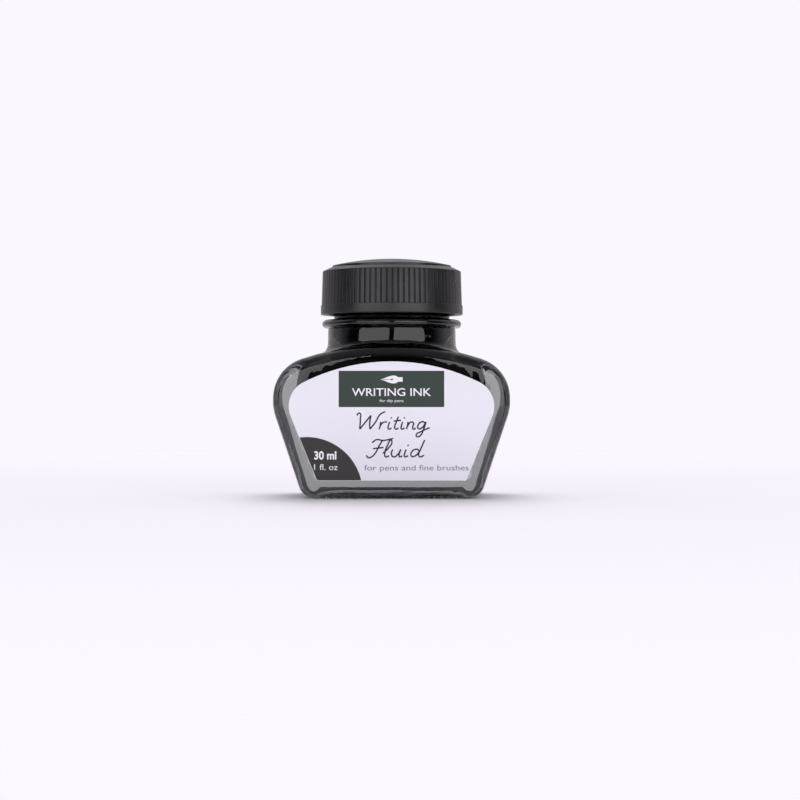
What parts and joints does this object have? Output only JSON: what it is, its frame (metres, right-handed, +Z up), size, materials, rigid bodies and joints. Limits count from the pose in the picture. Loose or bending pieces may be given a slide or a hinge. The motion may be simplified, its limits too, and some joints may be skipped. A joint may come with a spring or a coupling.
{
  "type": "ink bottle",
  "caption": "Squat flask-shaped glass ink bottle with flat faces, paper labels and a black ribbed screw cap over a sealing liner.",
  "frame": {"origin": "centre of the base, on the surface that the bottle stands on", "axes": "+Z up along the neck and cap, -Y out of the front label, +X to the right as seen facing the front label"},
  "size_m": [0.056, 0.0364, 0.0573],
  "materials": {
    "bottle_glass": "clear pressed soda-lime glass",
    "cap_plastic": "moulded black polypropylene, satin gloss",
    "liner_foam": "expanded polyethylene sealing disc",
    "label_paper": "coated white label paper, printed",
    "ink": "black drawing ink"
  },
  "bodies": {
    "bottle": {"glass_bottle": "bottle_glass", "ink": "ink", "front_label": "label_paper", "back_label": "label_paper"},
    "liner": {"cap_liner": "liner_foam"},
    "cap": {"screw_cap": "cap_plastic"}
  },
  "joints": [
    {"name": "cap_lift", "type": "slide", "parent": "bottle", "child": "liner", "axis": [0, 0, 1], "range_m": [0, 0.0127]},
    {"name": "cap_turn", "type": "hinge", "parent": "liner", "child": "cap", "pos_m": [0, 0, 0.0438], "axis": [0, 0, 1], "range_deg": [0, 1080]}
  ],
  "couplings": [
    {"joint": "cap_lift", "follows": "cap_turn", "m_per_rad": 0.0006737}
  ]
}
